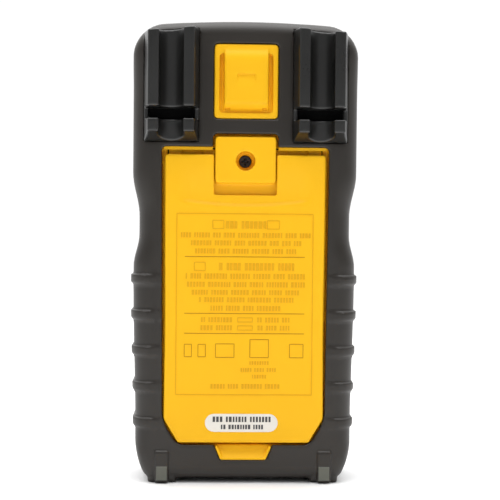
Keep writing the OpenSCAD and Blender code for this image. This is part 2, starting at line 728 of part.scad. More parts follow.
// The dark panel round the knob and the jacks
overlay_top = key_z - key_h / 2 - 3;
module face_overlay() color(dark_plastic) difference() {
    along_y(face_y - overlay_t, face_y) round_rect([-half_w + 9.4, 9.2], [half_w - 9.4, overlay_top], 5);
    rod_y([0, knob_z], face_y - 2, face_y + 2, knob_r + knob_gap);
    for (x = jack_xs) rod_y([x, jack_z], face_y - 2, face_y + 2, cup_r + ring_w);
}

// The selector
module rotary_knob() color(dark_plastic) difference() {
    union() {
        rod_y([0, knob_z], skirt_y - skirt_t, skirt_y, knob_r);
        intersection() {
            rod_y([0, knob_z], knob_top_y, skirt_y, knob_r - 1);
            at_rest_angle() box([-grip_half, knob_top_y, -knob_r], [grip_half, skirt_y, knob_r]);
        }
        rod_y([0, knob_z], skirt_y - 1, pcb_front_y - 1, shaft_r);
    }
    at_rest_angle() pointer_block(1);
}
module at_rest_angle() translate([0, 0, knob_z]) rotate([0, knob_rest, 0]) children();
module pointer_block(lift) box([-0.9, knob_top_y - lift, 8], [0.9, knob_top_y + 0.6, knob_r + 1]);
module knob_pointer() color("white") intersection() {
    at_rest_angle() pointer_block(0);
    rod_y([0, knob_z], knob_top_y, skirt_y, knob_r - 1);
}
module selector_rotor() color("#e8e4d8") difference() {
    union() {
        rod_y([0, knob_z], rotor_y, rotor_y + rotor_t + 0.8, rotor_r);
        rod_y([0, knob_z], rotor_y, rotor_low_y, hub_r);
        rod_y([0, knob_z], rotor_low_y - 1.8, rotor_low_y, contact_disc_r);
    }
    rod_y([0, knob_z], rotor_y - 1, rotor_low_y + 1, shaft_r);
    for (a = ball_angles) radial(a) rotate([0, 90, 0]) translate([0, 0, 11]) cylinder(h = 20, r = ball_r + 0.05);
}
module radial(a) translate([0, rotor_y + (rotor_t + 0.8) / 2, knob_z]) rotate([0, a, 0]) children();
module rotor_contacts() color(brass) {
    difference() {
        rod_y([0, knob_z], rotor_low_y, rotor_low_y + contact_t, 14);
        rod_y([0, knob_z], rotor_low_y - 1, rotor_low_y + 1, 9);
    }
    for (a = [0:60:300]) translate([0, 0, knob_z]) rotate([0, a, 0])
        box([10, rotor_low_y, -0.8], [13, pcb_front_y - 0.15, 0.8]);
}
module detent_ring() color("#d8d4c8") difference() {
    rod_y([0, knob_z], face_inner_y, rotor_y + rotor_t + 0.8, rotor_r + 4);
    rod_y([0, knob_z], face_inner_y - 1, rotor_y + 5, rotor_r + 1.25);
    for (a = [0:360 / detents:359]) radial(a) translate([rotor_r + 1.3, -4, 0]) rotate([-90, 0, 0])
        cylinder(h = 8, r = 0.9);
}
module detent_balls() color(steel) for (a = ball_angles) radial(a)
    translate([rotor_r + 0.1, 0, 0]) sphere(r = ball_r);
module detent_springs() color(steel) for (a = ball_angles) radial(a)
    translate([11, 0, 0]) rotate([0, 90, 0]) coil(0.72, 0.72, 0.15, rotor_r - 11 - ball_r, 6);
module knob_clip() color(steel) difference() {
    rod_y([0, knob_z], rotor_low_y + 0.02, rotor_low_y + 0.5, 6);
    rod_y([0, knob_z], rotor_low_y - 1, rotor_low_y + 1, shaft_r);
}

// A round wire wound from radius r0 up to r1 over height h
module coil(r0, r1, wire, h, turns) {
    rings = turns * 12;
    sides = 6;
    points = [for (i = [0:rings], k = [0:sides - 1])
        let (t = i / rings, a = 360 * turns * t, r = mix(r0, r1, t), b = 360 * k / sides)
        [(r + wire * cos(b)) * cos(a), (r + wire * cos(b)) * sin(a), wire + (h - 2 * wire) * t + wire * sin(b)]];
    sides_faces = [for (i = [0:rings - 1], k = [0:sides - 1])
        let (n = (k + 1) % sides)
        [i * sides + k, (i + 1) * sides + k, (i + 1) * sides + n, i * sides + n]];
    polyhedron(points, concat(
        [for (f = sides_faces) [f[0], f[1], f[2]]], [for (f = sides_faces) [f[0], f[2], f[3]]],
        [[for (k = [0:sides - 1]) k]], [[for (k = [sides - 1:-1:0]) rings * sides + k]]));
}

// The keys and the mat under them
module key(i) color(charcoal) {
    along_y(face_y - key_rise, face_inner_y + 0.5) key_shape(i);
    along_y(face_inner_y + 0.05, face_inner_y + 0.05 + flange_t) key_shape(i, key_flange);
    along_y(face_inner_y + 0.5, mat_y - key_travel - 0.3) key_shape(i, -1.6);
}
module keypad_mat() color("#55585c") {
    reach = (key_count - 1) / 2 * key_pitch + key_w / 2;
    along_y(mat_y, mat_y + mat_t) round_rect([-reach, key_z - 4.5], [reach, key_z + 4.5], 2);
    for (i = [1:key_count]) rod_y([(i - (key_count + 1) / 2) * key_pitch, key_z], mat_y + 0.5, pcb_front_y, 2.6);
}

// The jacks
module jack_block() color("#222223") difference() {
    union() {
        for (x = jack_xs) rod_y([x, jack_z], face_y - 0.8, pcb_front_y - 0.4, cup_r);
        box([-half_w + skin + wall + 3.2, pcb_front_y - 0.4 - cup_base_t, jack_z - cup_r + 1],
            [half_w - skin - wall - 3.2, pcb_front_y - 0.4, jack_z + cup_r - 1]);
    }
    for (x = jack_xs) {
        difference() {
            rod_y([x, jack_z], face_y - 2, pcb_front_y - 0.4 - cup_base_t, cup_bore_r);
            rod_y([x, jack_z], jack_mouth_y - 0.2, pcb_front_y, cup_post_r);
        }
        rod_y([x, jack_z], face_y - 2, pcb_front_y + 1, sleeve_r);
    }
}
module input_jack(i) color(brass) difference() {
    union() {
        rod_y([jack_xs[i - 1], jack_z], jack_mouth_y, jack_mouth_y + jack_depth + 1.2, sleeve_r);
        rod_y([jack_xs[i - 1], jack_z], jack_mouth_y + jack_depth + 1, jack_mouth_y + jack_depth + 3, 1.4);
    }
    rod_y([jack_xs[i - 1], jack_z], jack_mouth_y - 1, jack_mouth_y + jack_depth, jack_r);
}
module jack_rings(picked) for (i = picked) difference() {
    rod_y([jack_xs[i], jack_z], face_y - 0.8, face_y, cup_r + ring_w);
    rod_y([jack_xs[i], jack_z], face_y - 2, face_y + 1, cup_r);
}
module jack_rings_red() color("#c8202a") jack_rings([0, 3]);
module jack_rings_black() color("#565a5e") jack_rings([1, 2]);

// The circuit board and what is on it
module main_pcb() color("#1f6b3a") difference() {
    along_y(pcb_front_y, pcb_back_y) intersection() {
        inset_outline(skin + wall + 1.4);
        square_shape([-half_w, 11], [half_w, body_h - 12]);
    }
    for (p = case_screw_points) rod_y(p, pcb_front_y - 1, pcb_back_y + 1, case_post_r + 0.4);
    for (x = jack_xs) rod_y([x, jack_z], pcb_front_y - 1, pcb_back_y + 1, sleeve_r + 0.05);
}
board_top = body_h - 12;
module on_back(x, z, w, h, t) box([x - w / 2, pcb_back_y, z - h / 2], [x + w / 2, pcb_back_y + t, z + h / 2]);
module pcb_chips() color("#1a1a1c") {
    on_back(-22, bay_high + 12, 12, 12, 1.6);
    on_back(20, bay_high + 13, 7, 9, 1.6);
    on_back(25, bay_high - 21, 5, 5, 1.2);
    on_back(-28, 62, 6, 8, 1.6);
}
module pcb_capacitors() color("#2a4a8a") {
    for (p = [[26, 60], [26, 72], [-27, 78]]) rod_y(p, pcb_back_y, pcb_back_y + 7, 3);
    on_back(-30, 50, 4, 8, 3);
}
module shield_can() color(steel) difference() {
    on_back(-14, board_top - 20, 30, 24, 4);
    box([-28.5, pcb_back_y - 1, board_top - 31.5], [0.5, pcb_back_y + 3.5, board_top - 8.5]);
}
module buzzer() color("#17171a") difference() {
    rod_y([20, board_top - 20], pcb_back_y, pcb_back_y + 4.5, 9);
    rod_y([20, board_top - 20], pcb_back_y + 3.5, pcb_back_y + 6, 1.2);
}

// Fuses and cells
module fuse(i) {
    z = fuse_zs[i];
    l = fuse_lengths[i];
    rod_x([fuse_y, z], -l / 2 + 0.5, l / 2 - 0.5, fuse_r - 0.25);
    for (s = [-1, 1]) rod_x([fuse_y, z], s * (l / 2 - 3) - 3, s * (l / 2 - 3) + 3, fuse_r);
}
module fuse_10a() color("#e9e4d2") fuse(0);
module fuse_ma() color("#e9e4d2") fuse(1);
module fuse_clips() color(brass) for (i = [0, 1], s = [-1, 1]) {
    x = s * (fuse_lengths[i] / 2 - 3);
    difference() {
        union() {
            rod_x([fuse_y, fuse_zs[i]], x - 2.2, x + 2.2, fuse_r + 0.5);
            box([x - 2.2, pcb_back_y, fuse_zs[i] - 2.5], [x + 2.2, fuse_y - 3, fuse_zs[i] + 2.5]);
        }
        rod_x([fuse_y, fuse_zs[i]], x - 3, x + 3, fuse_r + 0.03);
        box([x - 3, fuse_y + 2.6, fuse_zs[i] - 8], [x + 3, fuse_y + 9, fuse_zs[i] + 8]);
    }
}
cell_gap = 4.8;
module cell(x, low, up) {
    tip = 1.4;
    body_low = up ? low : low + tip;
    translate([x, cell_y, body_low]) cylinder(h = cell_l - tip, r = cell_r);
    translate([x, cell_y, up ? low + cell_l - tip - 0.5 : low]) cylinder(h = tip + 0.5, r = 2.7);
}
module battery_cell_1() color("#3b3b3d") cell(-cell_pitch / 2, bay_low + cell_gap, true);
module battery_cell_2() color("#3b3b3d") cell(cell_pitch / 2, bay_high - cell_gap - cell_l, false);
module battery_springs() color(steel) {
    translate([-cell_pitch / 2, cell_y, bay_low + 0.5]) coil(5, 2.4, 0.4, cell_gap - 0.5, 4);
    translate([cell_pitch / 2, cell_y, bay_high - 0.5]) mirror([0, 0, 1]) coil(5, 2.4, 0.4, cell_gap - 0.5, 4);
}
module battery_plates() color(steel) for (s = [-1, 1], z = [bay_low, bay_high - 0.5])
    box([s * cell_pitch / 2 - 6, cell_y - 6, z], [s * cell_pitch / 2 + 6, cell_y + 6, z + 0.5]);

front_case();
rear_case();
front_overmould();
rear_overmould();
case_gasket();
case_screws();
probe_holder_left();
probe_holder_right();
probe_holder_screws();
battery_door();
battery_door_gasket();
battery_door_screw();
door_screw_retainer();
door_screw_insert();
tilt_stand();
stand_hinge_pins();
serial_label();
display_bezel();
display_lens();
lcd_panel();
lcd_frame();
backlight_panel();
zebra_strips();
face_overlay();
jack_rings_red();
jack_rings_black();
jack_block();
rotary_knob();
knob_pointer();
selector_rotor();
rotor_contacts();
detent_ring();
detent_balls();
detent_springs();
knob_clip();
keypad_mat();
main_pcb();
pcb_chips();
pcb_capacitors();
shield_can();
buzzer();
fuse_10a();
fuse_ma();
fuse_clips();
battery_cell_1();
battery_cell_2();
battery_springs();
battery_plates();
for (i = [1:key_count]) key(i);
for (i = [1:4]) input_jack(i);
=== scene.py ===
"""Looks for the handheld multimeter, built round its CAD frame. Lengths inside are in millimetres."""

import json
import math
import random

import bmesh
import bpy
import numpy as np
import openvdb as vdb
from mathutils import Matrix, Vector


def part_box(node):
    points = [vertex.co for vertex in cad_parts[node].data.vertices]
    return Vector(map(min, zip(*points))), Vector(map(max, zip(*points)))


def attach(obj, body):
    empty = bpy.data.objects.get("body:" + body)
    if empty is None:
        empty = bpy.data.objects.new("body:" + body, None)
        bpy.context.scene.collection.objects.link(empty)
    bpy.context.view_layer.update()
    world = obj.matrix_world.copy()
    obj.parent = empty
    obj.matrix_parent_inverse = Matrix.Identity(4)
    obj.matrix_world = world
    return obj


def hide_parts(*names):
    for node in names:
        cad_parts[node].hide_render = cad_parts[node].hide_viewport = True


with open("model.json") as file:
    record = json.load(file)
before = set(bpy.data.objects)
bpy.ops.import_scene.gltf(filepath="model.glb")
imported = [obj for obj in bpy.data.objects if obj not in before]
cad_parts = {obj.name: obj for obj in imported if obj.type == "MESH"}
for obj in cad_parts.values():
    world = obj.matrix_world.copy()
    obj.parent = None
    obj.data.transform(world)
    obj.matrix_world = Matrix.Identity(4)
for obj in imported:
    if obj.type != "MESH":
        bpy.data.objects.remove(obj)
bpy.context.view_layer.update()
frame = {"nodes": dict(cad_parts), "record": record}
RECORD = frame["record"]
COARSE = 1.0
MM = 0.001  # metres in a millimetre


def mm_box(node):
    low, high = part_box(node)
    return np.array(low) * 1000, np.array(high) * 1000


# Places read off the CAD nodes
BACK = mm_box("tilt_stand")[1][1]
SPLIT = mm_box("rear_overmould")[0][1]
FACE = mm_box("front_case")[0][1]
HEIGHT = mm_box("rear_overmould")[1][2]
KNOB_LOW, KNOB_HIGH = mm_box("rotary_knob")
KNOB_Z = (KNOB_LOW[2] + KNOB_HIGH[2]) / 2
KNOB_R = (KNOB_HIGH[0] - KNOB_LOW[0]) / 2
HOLDER_LOW, HOLDER_HIGH = mm_box("probe_holder_right")

# The body's outline, as in the CAD
HALF_W = 44.7
BASE_HALF = 43.0
LOWER_HALF = 44.2
WAIST_HALF = 42.0
CHAMFER_Z = 10.2
FOOT_IN, FOOT_OUT, FOOT_H = 26.5, 37.8, 1.4
RIB_Z = [23.9 + 14.2 * i for i in range(5)]
RIB_RISE = 1.0
WAIST_LOW, WAIST_HIGH = 0.536 * HEIGHT, 0.58 * HEIGHT
SKIN = 2.5  # thickness of the rubber
STRIP_IN, STRIP_OUT, STRIP_TOP, STRIP_RISE = FOOT_IN + 3.0, FOOT_IN + 8.3, 12.9, 0.78
WINDOW = {
    "half": 33.0,
    "taper": 0.9,
    "low": 15.3,
    "top": HEIGHT - 49.8,
    "corner": (6.0, 9.4),
    "notch": 12.85,
    "notch_top": HEIGHT - 44.7,
}
ANCHOR = {"half": 12.7, "low": HEIGHT - 38.8, "top": HEIGHT - 9.3}


# ---------------------------------------------------------------- distance fields
def smooth(t):
    """0 below 0, 1 above 1, and an even curve between."""
    t = np.clip(t, 0, 1)
    return t * t * (3 - 2 * t)


def mix(a, b, t):
    return a + (b - a) * t


def cut_round(a, b, r):
    """Where both a and b are inside, with an outer edge of radius r."""
    return np.minimum(-r, np.maximum(a, b)) + np.hypot(np.maximum(a + r, 0), np.maximum(b + r, 0))


def join_round(a, b, r):
    """Where a or b is inside, with a fillet of radius r between them."""
    return -cut_round(-a, -b, r)


def rect(u, v, u0, u1, v0, v1, r):
    """A rectangle with corners of radius r."""
    a = np.abs(u - (u0 + u1) / 2) - (u1 - u0) / 2
    b = np.abs(v - (v0 + v1) / 2) - (v1 - v0) / 2
    return cut_round(a, b, r)


def slant(u, v, p, q):
    """Distance past the line from p to q, inside on its left."""
    du, dv = q[0] - p[0], q[1] - p[1]
    return ((u - p[0]) * dv - (v - p[1]) * du) / math.hypot(du, dv)


def half_width(z):
    """Half the body's width at height z: a base, a ribbed grip, a waist and a wider head."""
    lower = mix(BASE_HALF, LOWER_HALF, smooth((z - CHAMFER_Z) / (RIB_Z[-1] - CHAMFER_Z)))
    waist_in = mix(LOWER_HALF, WAIST_HALF, smooth((z - WAIST_LOW + 12) / 12))
    upper = mix(WAIST_HALF, HALF_W, smooth((z - WAIST_HIGH) / 17))
    return np.where(z < WAIST_LOW - 12, lower, np.where(z < WAIST_HIGH, waist_in, upper))


def outline(x, z):
    """The body seen from the back."""
    ax = np.abs(x)
    side = ax - half_width(z)
    top = z - (HEIGHT - 1.2 * (ax / 32) ** 2)
    out = cut_round(side, top, 12.0)
    out = cut_round(out, slant(ax, z, (FOOT_OUT, 0), (BASE_HALF, CHAMFER_Z)), 3.0)
    return cut_round(out, FOOT_H - z, 2.5)


def body(x, y, z):
    out = outline(x, z)
    r = mix(5.5, 8.0, smooth((z - 8) / 22) * smooth((HEIGHT - 8 - z) / 20))
    return cut_round(cut_round(out, y - BACK, r), FACE - y, 5.5)


def feet(x, y, z):
    ax = np.abs(x)
    block = cut_round(np.abs(ax - (FOOT_IN + FOOT_OUT) / 2) - (FOOT_OUT - FOOT_IN) / 2, -z, 0.7)
    depth = cut_round(y - (BACK - 1.6), FACE + 1.6 - y, 2.0)
    return np.maximum(cut_round(block, depth, 2.0), z - 6)


def foot_strips(x, y, z):
    ax = np.abs(x)
    bar = rect(ax, z, STRIP_IN, STRIP_OUT, 0.2, STRIP_TOP, 0.6)
    lower_edge = slant(y, z, (BACK - 0.7, 0.1), (BACK + 0.8, 1.5))
    face = cut_round(y - (BACK + STRIP_RISE), lower_edge, 0.3)
    return np.maximum(cut_round(bar, face, 0.2), BACK - 9 - y)


def ribs(x, y, z, shell):
    """Grip ribs that stand proud at the sides and fade out towards the window."""
    ax = np.abs(x)
    reach = half_width(z) - ax
    rise = RIB_RISE * (1 - smooth((reach - 4.5) / 5.5))
    found = None
    for at in RIB_Z:
        up = z - at
        bar = cut_round(shell - rise, up - 1.95, 0.25)
        bar = cut_round(bar, -up - 1.95, 0.3)
        bar = cut_round(bar, (-up - 2.15 + shell) * 0.7071, 0.3)
        found = bar if found is None else np.minimum(found, bar)
    return np.maximum(found, -(shell + 1.2))


def window(x, z):
    """The opening in the rear rubber for the stand, the screw boss and the finger scoop."""
    ax = np.abs(x)
    w = WINDOW
    c, lower = w["corner"], w["half"] - w["taper"]
    side = slant(ax, z, (lower, w["low"] + c[1]), (w["half"], w["top"]))
    main = cut_round(cut_round(side, z - w["top"], 1.8), w["low"] - z, 0.6)
    main = cut_round(main, slant(ax, z, (lower - c[0], w["low"]), (lower, w["low"] + c[1])), 2.2)
    notch = np.maximum(cut_round(ax - w["notch"], z - w["notch_top"], 1.6), 100 - z)
    scoop = cut_round(slant(ax, z, (9.0, 9.3), (11.6, w["low"])), 9.3 - z, 0.9)
    scoop = np.maximum(scoop, z - 20)
    return join_round(join_round(main, notch, 0.5), scoop, 0.4)


def anchor_window(x, z):
    return rect(x, z, -ANCHOR["half"], ANCHOR["half"], ANCHOR["low"], ANCHOR["top"], 1.6)


def holder_outline(x, z):
    """A probe holder seen from the back: its top falls towards the side."""
    ax, low, high = np.abs(x), HOLDER_LOW, HOLDER_HIGH
    top = slant(ax, z, (high[0], high[2] - 1.8), (low[0], high[2]))
    sides = np.maximum(low[0] - ax, ax - high[0])
    return np.maximum(np.maximum(sides, top), low[2] - z)


def rear_rubber(x, y, z):
    outer = body(x, y, z)
    outer = join_round(outer, feet(x, y, z), 0.7)
    outer = join_round(outer, foot_strips(x, y, z), 0.3)
    shell = body(x, y, z)
    outer = join_round(outer, ribs(x, y, z, shell), 0.5)
    field = np.maximum(outer, -(shell + SKIN))
    field = cut_round(field, SPLIT + 0.05 - y, 0.4)
    field = cut_round(field, -window(x, z), 0.6)
    field = cut_round(field, -anchor_window(x, z), 0.6)
    return np.maximum(field, -np.maximum(holder_outline(x, z), HOLDER_LOW[1] - y))


def front_rubber(x, y, z):
    shell = body(x, y, z)
    outer = join_round(shell, feet(x, y, z), 0.7)
    outer = join_round(outer, np.maximum(ribs(x, y, z, shell), FACE + 5 - y), 0.5)
    edge = outline(x, z)
    lip = np.hypot(edge + 5.3, y - FACE) - 1.0
    outer = join_round(outer, lip, 1.0)
    field = np.maximum(outer, -(shell + SKIN))
    field = cut_round(field, y - SPLIT + 0.05, 0.4)
    return cut_round(field, -np.maximum(edge + 6.45, y - FACE - 3.5), 0.7)


# ---------------------------------------------------------------- meshes
def sample(a, at):
    """Trilinear values of the array a at fractional indices."""
    at = np.clip(at, 0, np.array(a.shape) - 1.001)
    i = at.astype(int)
    f = at - i
    out = 0
    for dx in (0, 1):
        for dy in (0, 1):
            for dz in (0, 1):
                wx = f[:, 0] if dx else 1 - f[:, 0]
                wy = f[:, 1] if dy else 1 - f[:, 1]
                wz = f[:, 2] if dz else 1 - f[:, 2]
                out = out + wx * wy * wz * a[i[:, 0] + dx, i[:, 1] + dy, i[:, 2] + dz]
    return out


def surface(values, origin, voxel, flatten):
    """The closed zero surface of an array of distances: points, faces and smooth normals."""
    band = 4 * voxel
    grid = vdb.FloatGrid(band)
    grid.copyFromArray(np.clip(values, -band, band).astype(np.float32))
    points, triangles, quads = grid.convertToPolygons(0.0, flatten)
    at = points.astype(float)

    def slope(p):
        step = 0.7
        g = np.stack([sample(values, p + step * e) - sample(values, p - step * e) for e in np.eye(3)], 1)
        return g / np.maximum(np.linalg.norm(g, axis=1, keepdims=True), 1e-9)

    for _ in range(2):
        move = np.clip(sample(values, at) / voxel, -0.4, 0.4)
        at = at - move[:, None] * slope(at)
    return at * voxel + origin, triangles, quads, slope(at)


def from_field(field, low, high, voxel, flatten=0.02):
    """The surface of a distance field within a box. flatten merges faces on flat stretches."""
    voxel *= COARSE
    low, high = np.array(low, float) - 3 * voxel, np.array(high, float) + 3 * voxel
    n = np.ceil((high - low) / voxel).astype(int) + 1
    x, y, z = (low[k] + voxel * np.arange(n[k]) for k in range(3))
    values = field(x[:, None, None], y[None, :, None], z[None, None, :]).astype(np.float32)
    return surface(values, low, voxel, flatten)


def solid_of(node):
    """A CAD node's points in mm, welded, and its triangles."""
    mesh = frame["nodes"][node].data
    co = np.empty(len(mesh.vertices) * 3, np.float32)
    mesh.vertices.foreach_get("co", co)
    mesh.calc_loop_triangles()
    tri = np.empty(len(mesh.loop_triangles) * 3, np.int32)
    mesh.loop_triangles.foreach_get("vertices", tri)
    unique, index = np.unique(np.round(co.reshape(-1, 3) * 1000, 4), axis=0, return_inverse=True)
    return unique.astype(np.float32), index.reshape(-1)[tri].reshape(-1, 3).astype(np.uint32)


def from_cad(node, voxel, r, fillet=0.0, change=None, flatten=0.02):
    """The CAD node with its outer edges rounded by r and its inner corners filled by fillet."""
    voxel *= COARSE
    points, triangles = solid_of(node)
    quads = None
    offsets = [-r, r + fillet, -fillet] if fillet else [-r, r]
    transform = vdb.createLinearTransform(voxelSize=voxel)
    for i, off in enumerate(offsets):
        grid = vdb.FloatGrid.createLevelSetFromPolygons(
            points, triangles=triangles, quads=quads, transform=transform,
            halfWidth=abs(off) / voxel + 4)
        if i < len(offsets) - 1:
            points, triangles, quads = grid.convertToPolygons(float(off), 0.0)
    low, high = mm_box(node)
    i0 = np.floor(low / voxel).astype(int) - 4
    i1 = np.ceil(high / voxel).astype(int) + 4
    values = np.empty(tuple(i1 - i0 + 1), np.float32)
    grid.copyToArray(values, ijk=tuple(int(v) for v in i0))
    values -= offsets[-1]
    if change:
        x, y, z = (voxel * np.arange(i0[k], i1[k] + 1) for k in range(3))
        values = change(values, x[:, None, None], y[None, :, None], z[None, None, :]).astype(np.float32)
    return surface(values, i0 * voxel, voxel, flatten)


def build(name, made, material):
    """A Blender object from what surface() gives."""
    points, triangles, quads, normals = made
    mesh = bpy.data.meshes.new(name)
    loops = np.concatenate([triangles.ravel(), quads.ravel()]).astype(np.int32)
    starts = np.concatenate([np.arange(len(triangles)) * 3, len(triangles) * 3 + np.arange(len(quads)) * 4])
    mesh.vertices.add(len(points))
    mesh.vertices.foreach_set("co", (points * MM).astype(np.float32).ravel())
    mesh.loops.add(len(loops))
    mesh.loops.foreach_set("vertex_index", loops)
    mesh.polygons.add(len(starts))
    mesh.polygons.foreach_set("loop_start", starts.astype(np.int32))
    mesh.update(calc_edges=True)
    mesh.validate()
    if mesh.polygons[0].normal.dot(Vector(normals[mesh.polygons[0].vertices[0]])) < 0:
        mesh.flip_normals()
    mesh.polygons.foreach_set("use_smooth", np.ones(len(mesh.polygons), bool))
    if len(mesh.vertices) == len(normals):
        mesh.normals_split_custom_set_from_vertices(normals.astype(np.float32))
    mesh.materials.append(material)
    obj = bpy.data.objects.new(name, mesh)
    bpy.context.scene.collection.objects.link(obj)
    return obj


def place(obj, on, replaces=()):
    """Rides the piece on a body, and hides the CAD nodes that it stands for."""
    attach(obj, on)
    if replaces:
        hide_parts(*replaces)
    return obj


class Bars:
    """Low printed or raised shapes on a flat face that looks along +Y or -Y."""

    def __init__(self, y, rise, slope=0.08):
        self.y, self.rise, self.slope = y, rise, slope
        self.points, self.faces = [], []

    def poly(self, ring):
        """ring: (x, z) points round a convex shape."""
        n = len(ring)
        cx, cz = sum(p[0] for p in ring) / n, sum(p[1] for p in ring) / n
        first = len(self.points)
        sunk = -0.12 if self.rise > 0 else 0.12
        for y, shrink in ((self.y + sunk, 0), (self.y + self.rise, self.slope)):
            for px, pz in ring:
                d = math.hypot(px - cx, pz - cz) or 1
                k = max(0, 1 - shrink / d)
                self.points.append((cx + (px - cx) * k, y, cz + (pz - cz) * k))
        self.faces.append([first + n + i for i in range(n)])
        self.faces.append([first + i for i in reversed(range(n))])
        for i in range(n):
            j = (i + 1) % n
            self.faces.append([first + i, first + j, first + n + j, first + n + i])

    def bar(self, x0, x1, z0, z1):
        self.poly([(x0, z0), (x1, z0), (x1, z1), (x0, z1)])

    def frame(self, x0, x1, z0, z1, t):
        self.bar(x0, x1, z0, z0 + t)
        self.bar(x0, x1, z1 - t, z1)
        self.bar(x0, x0 + t, z0 + t, z1 - t)
        self.bar(x1 - t, x1, z0 + t, z1 - t)

    def line(self, a, b, t):
        dx, dz = b[0] - a[0], b[1] - a[1]
        d = math.hypot(dx, dz)
        nx, nz = -dz / d * t / 2, dx / d * t / 2
        self.poly([(a[0] - nx, a[1] - nz), (b[0] - nx, b[1] - nz),
                   (b[0] + nx, b[1] + nz), (a[0] + nx, a[1] + nz)])

    def words(self, rng, x0, x1, z0, z1, letter=1.0, gap=0.34):
        """A row of short strokes grouped like words, with no lettering in it."""
        x, left = x0, rng.randint(3, 8)
        while x + letter * 0.6 < x1:
            w = letter * rng.uniform(0.6, 1.05)
            self.bar(x, min(x + w, x1), z0, z1)
            x += w + gap
            left -= 1
            if not left:
                x += letter * 0.9
                left = rng.randint(3, 8)

    def made(self, name, material):
        mesh = bpy.data.meshes.new(name)
        mesh.from_pydata([(x * MM, y * MM, z * MM) for x, y, z in self.points], [], self.faces)
        mesh.update()
        bm = bmesh.new()
        bm.from_mesh(mesh)
        bmesh.ops.recalc_face_normals(bm, faces=bm.faces)
        bm.to_mesh(mesh)
        bm.free()
        mesh.materials.append(material)
        obj = bpy.data.objects.new(name, mesh)
        bpy.context.scene.collection.objects.link(obj)
        return obj


# ---------------------------------------------------------------- materials
def shader(name, color, rough, metal=0.0, grain=1500.0, bump=0.15, depth=0.00003, tint=0.05, vary=0.06,
           specular=0.5, coat=0.0, alpha=1.0, brushed=None):
    """A moulded or metal finish: broad tint, fine grain in the roughness and, with bump, in the normal."""
    mat = bpy.data.materials.new(name)
    mat.use_nodes = True
    nodes, links = mat.node_tree.nodes, mat.node_tree.links
    out = nodes["Principled BSDF"]
    out.inputs["Metallic"].default_value = metal
    out.inputs["Specular IOR Level"].default_value = specular
    out.inputs["Coat Weight"].default_value = coat
    out.inputs["Coat Roughness"].default_value = 0.1
    out.inputs["Alpha"].default_value = alpha
    place_in = nodes.new("ShaderNodeTexCoord").outputs["Object"]
    if brushed:
        stretch = nodes.new("ShaderNodeMapping")
        stretch.inputs["Scale"].default_value = brushed
        links.new(place_in, stretch.inputs["Vector"])
        fine_in = stretch.outputs["Vector"]
    else:
        fine_in = place_in
    broad = nodes.new("ShaderNodeTexNoise")
    broad.inputs["Scale"].default_value = 45
    broad.inputs["Detail"].default_value = 4
    links.new(place_in, broad.inputs["Vector"])
    fine = nodes.new("ShaderNodeTexNoise")
    fine.inputs["Scale"].default_value = grain
    fine.inputs["Detail"].default_value = 3
    links.new(fine_in, fine.inputs["Vector"])
    blend = nodes.new("ShaderNodeMix")
    blend.data_type = "RGBA"
    dark = [c * (1 - tint) for c in color[:3]]
    light = [min(1, c * (1 + tint)) for c in color[:3]]
    blend.inputs["A"].default_value = (*dark, 1)
    blend.inputs["B"].default_value = (*light, 1)
    links.new(broad.outputs["Fac"], blend.inputs["Factor"])
    links.new(blend.outputs["Result"], out.inputs["Base Color"])
    spread = nodes.new("ShaderNodeMapRange")
    spread.inputs["From Min"].default_value = 0.3
    spread.inputs["From Max"].default_value = 0.7
    spread.inputs["To Min"].default_value = max(0.02, rough - vary)
    spread.inputs["To Max"].default_value = min(1, rough + vary)
    both = nodes.new("ShaderNodeMath")
    both.operation = "ADD"
    half = nodes.new("ShaderNodeMath")
    half.operation = "MULTIPLY"
    half.inputs[1].default_value = 0.5
    links.new(broad.outputs["Fac"], both.inputs[0])
    links.new(fine.outputs["Fac"], both.inputs[1])
    links.new(both.outputs["Value"], half.inputs[0])
    links.new(half.outputs["Value"], spread.inputs["Value"])
    links.new(spread.outputs["Result"], out.inputs["Roughness"])
    if bump:
        dent = nodes.new("ShaderNodeBump")
        dent.inputs["Strength"].default_value = bump
        dent.inputs["Distance"].default_value = depth
        links.new(fine.outputs["Fac"], dent.inputs["Height"])
        links.new(dent.outputs["Normal"], out.inputs["Normal"])
    return mat


